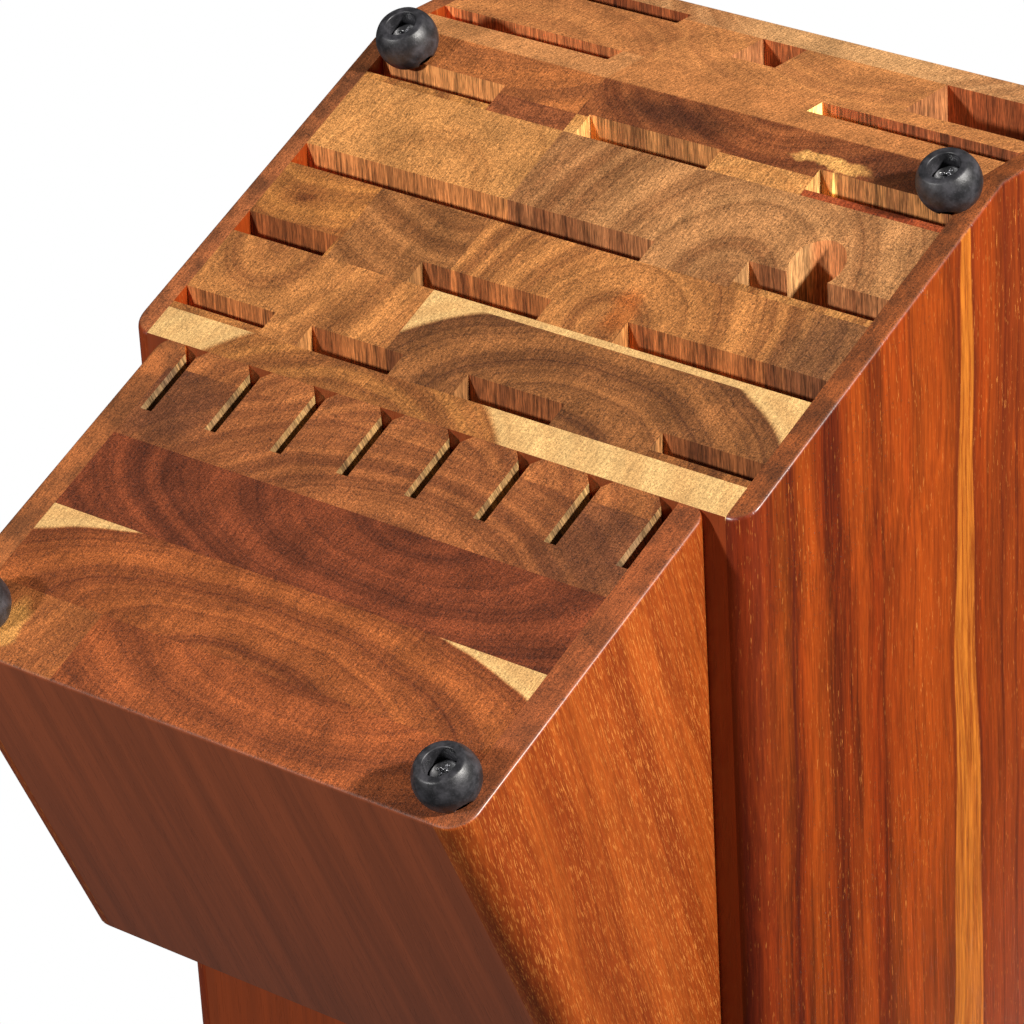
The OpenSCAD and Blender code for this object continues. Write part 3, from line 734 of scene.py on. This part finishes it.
def stave_ring(x0, x1, shrink, lift, at_top):
    """One ring of a front stave: a rectangle whose front edge is shrunk."""
    outline = np.array([[x0, FRONT_Y + shrink], [x1, FRONT_Y + shrink], [x1, STAVE_BACK_Y], [x0, STAVE_BACK_Y]])
    x, y = outline.T
    z = small_top(y) - lift if at_top else np.full(len(x), UNDERSIDE + lift)
    return np.stack([x, y, z], axis=-1)


def both_ends(make):
    """Rings from the bottom cap to the top cap, where make(shrink, lift, at_top) gives one ring."""
    ends = list(zip(*end_rings(EDGE_ROUND)))
    return [make(s, l, False) for s, l in reversed(ends)] + [make(s, l, True) for s, l in ends]


# %% Small side panels
left_small = panel_material("steak_side_left_wood", False, light=(172, 82, 27), dark=(132, 54, 16), band=0.014,
                            tilt=0.12, flecks=0.60, rarity=0.55,
                            shift=(0.1, 0.2, 0.0), end=(152, 80, 41))
right_small = panel_material("steak_side_right_wood", False, light=(178, 84, 27), dark=(138, 56, 16), band=0.014,
                             tilt=-0.06, flecks=0.60, rarity=0.55,
                             shift=(0.5, 0.1, 0.3), end=(172, 100, 52))
for side, word, material in ((-1, "left", left_small), (1, "right", right_small)):
    rings = both_ends(lambda s, l, top: small_panel_ring(side, s, l, top))
    caps = [list(range(len(rings[0])))]
    carried(f"steak_side_{word}_panel", rings, caps, material, f"steak_side_{word}")

# %% Front staves
for word, x0, x1 in (("left", -SMALL_IN, STAVE_SEAM), ("right", STAVE_SEAM, SMALL_IN)):
    node = "steak_front_stave_" + word
    rings = both_ends(lambda s, l, top: stave_ring(x0, x1, s, l, top))
    carried(node + "_piece", rings, [[0, 1, 2, 3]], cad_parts[node].data.materials[0], node)
print("small block pieces done")

# %% [markdown]
# ## Rubber feet
# Each foot is a moulded ball, cut flat where it meets the wood, with a deep round recess for its
# screw. That is a surface of revolution: a profile of (radius, height) turned about the foot's
# axis. A half-round notch at the wood side, which lets the mould release, is a dent in that surface:
# points near the notch's centre are drawn inwards.

# %% Foot profile
FOOT_STEPS = 72
BALL_R = 0.0079
BASE_R = 0.0064
FOOT_H = UNDERSIDE
BALL_Z = FOOT_H - math.sqrt(BALL_R**2 - BASE_R**2)
RECESS_R, RECESS_FLOOR = 0.0040, 0.0055
RIM_ROUND = 0.00035


def foot_profile():
    """(radius, height) from the wood, over the ball, round the rim and down the recess."""
    top = math.atan2(FOOT_H - BALL_Z, BASE_R)
    rim_r = math.sqrt(BALL_R**2 - BALL_Z**2)
    bottom = -math.acos(rim_r / BALL_R)
    ball = np.linspace(top, bottom * 0.97, 34)
    ball = np.stack([BALL_R * np.cos(ball), BALL_Z + BALL_R * np.sin(ball)], axis=-1)
    lip = np.array([[rim_r - 0.0003, 0.00002], [rim_r - 0.0008, 0.0]])
    turn = np.linspace(-math.pi / 2, -math.pi, 6)
    mouth = np.stack([RECESS_R + RIM_ROUND + RIM_ROUND * np.cos(turn), RIM_ROUND + RIM_ROUND * np.sin(turn)], axis=-1)
    wall_z = np.linspace(RIM_ROUND + 0.0003, RECESS_FLOOR - 0.0004, 8)
    wall = np.stack([np.full(8, RECESS_R), wall_z], axis=-1)
    floor = np.array([[RECESS_R - 0.0004, RECESS_FLOOR], [0.0019, RECESS_FLOOR], [0.00176, RECESS_FLOOR + 0.0002]])
    bore = np.array([[0.00176, FOOT_H], [BASE_R - 0.0003, FOOT_H]])
    return np.concatenate([ball, lip, mouth, wall, floor, bore])


NOTCH_R, NOTCH_DEEP = 0.0021, 0.0011


def foot_points(centre, notch_angle):
    """The turned profile, with points near the notch drawn towards the axis."""
    radius, height = foot_profile().T
    angle = np.linspace(0, 2 * math.pi, FOOT_STEPS, endpoint=False)
    r, a = np.meshgrid(radius, angle, indexing="ij")
    z = np.meshgrid(height, angle, indexing="ij")[0]
    off = (a - notch_angle + math.pi) % (2 * math.pi) - math.pi
    away = np.hypot(off * BASE_R, FOOT_H - z)
    outside = (np.arange(len(radius)) < 34)[:, None]
    dent = np.clip((NOTCH_R - away) / (NOTCH_R * 0.25), 0, 1)
    dent = dent * dent * (3 - 2 * dent) * outside
    r = r - NOTCH_DEEP * dent
    return np.stack([centre[0] + r * np.cos(a), centre[1] + r * np.sin(a), z], axis=-1)


def ring_faces(rows, cols):
    """Quads of a grid that closes on itself both ways."""
    r, c = np.meshgrid(np.arange(rows), np.arange(cols), indexing="ij")
    down, nxt = (r + 1) % rows, (c + 1) % cols
    return np.stack([r * cols + c, r * cols + nxt, down * cols + nxt, down * cols + c], axis=-1).reshape(-1, 4).tolist()


# %% [markdown]
# ## Rubber finish
# Moulded rubber is near black, with a satin skin that is finely pitted, and a grey bloom where
# hands and boxes have rubbed it.

# %% Rubber material
rubber = bpy.data.materials.new("foot_rubber")
rubber.use_nodes = True
tree = rubber.node_tree
tree.nodes.clear()
coords = add(tree, "TexCoord", out="Object")
pits = noise(tree, coords, 0.00055, 4.0, 0.7)
bloom = noise(tree, coords, 0.0032, 3.0, 0.6)
colour = blend(tree, fade(tree, bloom, 0.35, 0.75), tone(34, 34, 37), tone(66, 65, 70))
colour = blend(tree, fade(tree, pits, 0.55, 0.75, 0.0, 0.5), colour, tone(92, 90, 96))
gloss = fade(tree, bloom, 0.30, 0.70, 0.36, 0.50)
bump = add(tree, "Bump", {"Strength": 0.35, "Distance": 0.00015, "Height": pits})
ins = {"Base Color": colour, "Roughness": gloss, "Normal": bump, "Specular IOR Level": 0.6}
add(tree, "OutputMaterial", {"Surface": add(tree, "BsdfPrincipled", ins)})

# %% Feet
NOTCH_ANGLES = {"front_left": -150, "front_right": -100, "rear_left": -110, "rear_right": -160}
foot_centres = {}
for word in ("front_left", "front_right", "rear_left", "rear_right"):
    low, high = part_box("foot_" + word)
    centre = ((low.x + high.x) / 2, (low.y + high.y) / 2)
    foot_centres[word] = centre
    points = foot_points(centre, math.radians(NOTCH_ANGLES[word]))
    faces = ring_faces(*points.shape[:2])
    new_piece(f"foot_{word}_rubber", points.reshape(-1, 3), faces, rubber, (f"foot_{word}",))
print("feet at", {k: (round(x, 4), round(y, 4)) for k, (x, y) in foot_centres.items()})

# %% [markdown]
# ## Screw heads
# Each screw is one more turned profile: a pan head with rounded shoulders, its shank, and a cross
# recess pressed into the head. The cross is a dent again: the depth grows where a point is close to
# either of two crossed bars and near the middle.

# %% Screw steel
steel = bpy.data.materials.new("screw_steel")
steel.use_nodes = True
tree = steel.node_tree
tree.nodes.clear()
coords = add(tree, "TexCoord", out="Object")
scratches = noise(tree, coords, 0.0004, 3.0, 0.6)
colour = blend(tree, scratches, tone(190, 190, 192), tone(225, 225, 228))
gloss = fade(tree, scratches, 0.3, 0.7, 0.26, 0.40)
ins = {"Base Color": colour, "Metallic": 1.0, "Roughness": gloss}
add(tree, "OutputMaterial", {"Surface": add(tree, "BsdfPrincipled", ins)})

# %% Screws
SCREW_LOW, SCREW_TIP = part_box("foot_screws")[0].z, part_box("foot_screws")[1].z
HEAD_R, HEAD_H, SHANK_R = 0.0035, 0.0022, 0.00175
CROSS_HALF, CROSS_REACH, CROSS_DEEP = 0.00045, 0.0020, 0.0012
HEAD_ROUND = 0.0009


def screw_points(centre):
    """Turned profile from the middle of the head to the tip, with a cross pressed into the head."""
    face = np.stack([np.linspace(0, HEAD_R - HEAD_ROUND, 24), np.full(24, SCREW_LOW)], axis=-1)
    turn = np.linspace(-math.pi / 2, 0, 7)[1:]
    shoulder = np.stack([HEAD_R - HEAD_ROUND + HEAD_ROUND * np.cos(turn),
                         SCREW_LOW + HEAD_ROUND + HEAD_ROUND * np.sin(turn)], axis=-1)
    shank = np.array([[HEAD_R, SCREW_LOW + HEAD_H], [SHANK_R, SCREW_LOW + HEAD_H], [SHANK_R, SCREW_TIP], [0, SCREW_TIP]])
    radius, height = np.concatenate([face, shoulder, shank]).T
    angle = np.linspace(0, 2 * math.pi, FOOT_STEPS, endpoint=False)
    r, a = np.meshgrid(radius, angle, indexing="ij")
    z = np.meshgrid(height, angle, indexing="ij")[0]
    across, along = r * np.cos(a), r * np.sin(a)
    bars = np.minimum(np.abs(across), np.abs(along))
    wall = np.clip((CROSS_HALF - bars) / 0.0002, 0, 1)
    end = np.clip((CROSS_REACH - r) / 0.0004, 0, 1)
    on_face = (np.arange(len(radius)) < 24)[:, None]
    z = z + CROSS_DEEP * wall * end * on_face
    return np.stack([centre[0] + across, centre[1] + along, z], axis=-1)


screw_sets, screw_faces, count = [], [], 0
for centre in foot_centres.values():
    points = screw_points(centre)
    rows, cols = points.shape[:2]
    r, c = np.meshgrid(np.arange(rows - 1), np.arange(cols), indexing="ij")
    nxt = (c + 1) % cols
    quads = np.stack([r * cols + c, r * cols + nxt, (r + 1) * cols + nxt, (r + 1) * cols + c], axis=-1)
    screw_faces += (quads.reshape(-1, 4) + count).tolist()
    screw_sets.append(points.reshape(-1, 3))
    count += rows * cols
screws = new_piece("foot_screws_steel", np.concatenate(screw_sets), screw_faces, steel, ("foot_screws",))
merged = bmesh.new()
merged.from_mesh(screws.data)
bmesh.ops.remove_doubles(merged, verts=merged.verts, dist=1e-6)
bmesh.ops.recalc_face_normals(merged, faces=merged.faces)
merged.to_mesh(screws.data)
merged.free()
print("screws:", len(screws.data.polygons), "faces")

# %% [markdown]
# ## Floor and light
# The floor is a plain pale sheet. The main view looks up at the underside, so the sheet is seen
# only from above: a ray that meets its back, or that only carries light, passes through it. One
# hard studio light stands low on the left and a weaker one low at the front, as the underside
# needs, and one wide soft light above and behind serves the other sides. The surroundings are white.

# %% Floor
floor_mesh = bpy.data.meshes.new("floor")
FLOOR_HALF = 3.0
corners = [(-FLOOR_HALF, -FLOOR_HALF, 0), (FLOOR_HALF, -FLOOR_HALF, 0), (FLOOR_HALF, FLOOR_HALF, 0), (-FLOOR_HALF, FLOOR_HALF, 0)]
floor_mesh.from_pydata(corners, [], [[0, 1, 2, 3]])
floor = bpy.data.objects.new("floor", floor_mesh)
bpy.context.scene.collection.objects.link(floor)
floor_finish = bpy.data.materials.new("pale_floor")
floor_finish.use_nodes = True
tree = floor_finish.node_tree
tree.nodes.clear()
seen = add(tree, "LightPath", out="Is Camera Ray")
back = add(tree, "NewGeometry", out="Backfacing")
shown = maths(tree, "MULTIPLY", seen, maths(tree, "SUBTRACT", 1.0, back))
coords = add(tree, "TexCoord", out="Object")
pale = blend(tree, noise(tree, coords, 0.4, 2.0), tone(236, 236, 234), tone(228, 228, 227))
paper = add(tree, "BsdfPrincipled", {"Base Color": pale, "Roughness": 0.8})
clear = add(tree, "BsdfTransparent")
mixed = add(tree, "MixShader", {0: shown, 1: clear, 2: paper})
add(tree, "OutputMaterial", {"Surface": mixed})
floor_mesh.materials.append(floor_finish)

# %% Surroundings
world = bpy.data.worlds.new("white_studio")
world.use_nodes = True
bpy.context.scene.world = world
tree = world.node_tree
tree.nodes.clear()
seen = add(tree, "LightPath", out="Is Camera Ray")
strength = maths(tree, "MULTIPLY_ADD", seen, 0.95, 0.05)
sky = add(tree, "Background", {"Color": (1, 1, 1, 1), "Strength": strength})
add(tree, "OutputWorld", {"Surface": sky})


# %% Lights
def soft_light(name, place, aim, size, watts, colour=(1, 1, 1)):
    """A square area light at place, turned towards aim."""
    data = bpy.data.lights.new(name, "AREA")
    data.size = size
    data.energy = watts
    data.color = colour
    light = bpy.data.objects.new(name, data)
    light.location = place
    light.rotation_euler = (Vector(aim) - Vector(place)).to_track_quat("-Z", "Y").to_euler()
    bpy.context.scene.collection.objects.link(light)
    return light


middle = Vector((0, -0.02, 0.06))
LIGHT_DISTANCE = 2.2
studio = [
    ("low_left_light", (-0.83, 0.27, -0.49), 0.16, 88, (1.0, 0.96, 0.90)),
    ("low_front_light", (0.38, -0.61, -0.69), 0.18, 33, (1.0, 0.98, 0.95)),
    ("high_rear_light", (0.35, 0.60, 1.00), 1.40, 60, (1.0, 1.0, 1.0)),
]
for name, direction, size, watts, colour in studio:
    soft_light(name, middle + Vector(direction).normalized() * LIGHT_DISTANCE, middle, size, watts, colour)
bpy.context.scene.view_settings.view_transform = "Standard"
